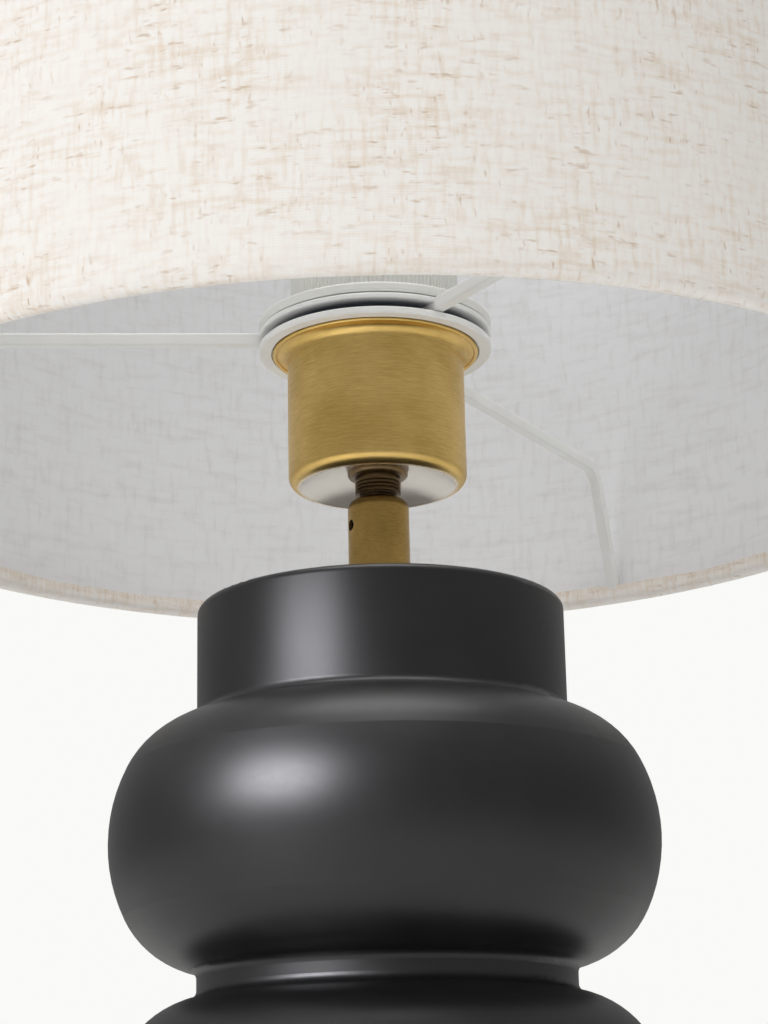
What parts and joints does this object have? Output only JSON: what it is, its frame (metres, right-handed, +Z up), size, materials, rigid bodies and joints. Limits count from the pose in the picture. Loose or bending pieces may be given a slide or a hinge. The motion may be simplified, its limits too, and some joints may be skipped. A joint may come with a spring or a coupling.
{
  "type": "table lamp with shade",
  "caption": "Table lamp with a stacked-bulge glazed ceramic stand, a brushed brass lampholder cup and a linen drum shade on a white wire frame.",
  "frame": {"origin": "on the table, under the middle of the lamp", "axes": "+Z up along the lamp's axis; +Y towards the back, where the cord outlet is; +X to the right"},
  "size_m": [0.304, 0.304, 0.4881],
  "materials": {
    "ceramic_glaze": "satin near-black glaze",
    "antique_brass": "brushed antique brass, lacquered",
    "white_paint": "satin warm-white paint",
    "ring_plastic": "matt warm-white moulding",
    "linen": "cream slub linen weave",
    "shade_film": "translucent white film",
    "felt": "black wool felt",
    "board": "grey-brown fibreboard",
    "zinc_steel": "zinc plated",
    "dark_steel": "dark bronzed thread",
    "black_rubber": "black rubber",
    "black_plastic": "black moulded nylon",
    "holder_plastic": "white heat-proof moulding",
    "contact_porcelain": "unglazed porcelain",
    "contact_brass": "bright brass strip",
    "cap_metal": "pressed bulb cap",
    "cap_insulator": "black glass-like insulator",
    "solder": "tinned tip",
    "bulb_plastic": "white heat-spreading moulding",
    "bulb_opal": "opal diffuser",
    "board_white": "white solder mask",
    "board_green": "green solder mask"
  },
  "bodies": {
    "stand": {"ceramic_body": "ceramic_glaze", "felt_pad": "felt", "bottom_board": "board", "bottom_plate": "zinc_steel", "bottom_washer": "zinc_steel", "bottom_nut": "zinc_steel", "threaded_rod": "zinc_steel", "stem_washer": "black_rubber", "cord_outlet_bush": "black_plastic", "cord_outlet_nut": "black_plastic", "stem_tube": "antique_brass", "stem_grub_screw": "dark_steel"},
    "head": {"head_nipple": "dark_steel", "locking_collar": "antique_brass", "cup_bush": "antique_brass", "lampholder_cup": "antique_brass", "cup_nut": "zinc_steel", "lampholder_cap": "holder_plastic", "lampholder_body": "holder_plastic", "contact_core": "contact_porcelain", "screw_shell": "contact_brass", "centre_contact": "contact_brass", "contact_screws": "contact_brass", "lower_shade_ring": "white_paint"},
    "clamp_ring": {"clamp_ring": "ring_plastic"},
    "shade": {"spider_ring": "white_paint", "spider_arm_left": "white_paint", "spider_arm_front": "white_paint", "spider_arm_rear": "white_paint", "lower_hoop": "white_paint", "upper_hoop": "white_paint", "shade_linen": "linen", "shade_lining": "shade_film", "lower_hem": "linen", "upper_hem": "linen", "lining_seam_strip": "shade_film"},
    "bulb": {"bulb_cap": "cap_metal", "bulb_insulator": "cap_insulator", "bulb_tip": "solder", "bulb_housing": "bulb_plastic", "bulb_globe": "bulb_opal", "light_board": "board_white", "driver_board": "board_green"}
  },
  "joints": [
    {"name": "head_turn", "type": "hinge", "parent": "stand", "child": "head", "pos_m": [0, 0, 0.283], "axis": [0, 0, 1], "range_deg": [-175, 175]},
    {"name": "shade_turn", "type": "hinge", "parent": "head", "child": "shade", "pos_m": [0, 0, 0.33], "axis": [0, 0, 1], "continuous": true},
    {"name": "clamp_ring_turn", "type": "hinge", "parent": "head", "child": "clamp_ring", "pos_m": [0, 0, 0.338], "axis": [0, 0, 1], "continuous": true},
    {"name": "bulb_unscrew", "type": "slide", "parent": "head", "child": "bulb", "axis": [0, 0, 1], "range_m": [0, 0.026]}
  ]
}
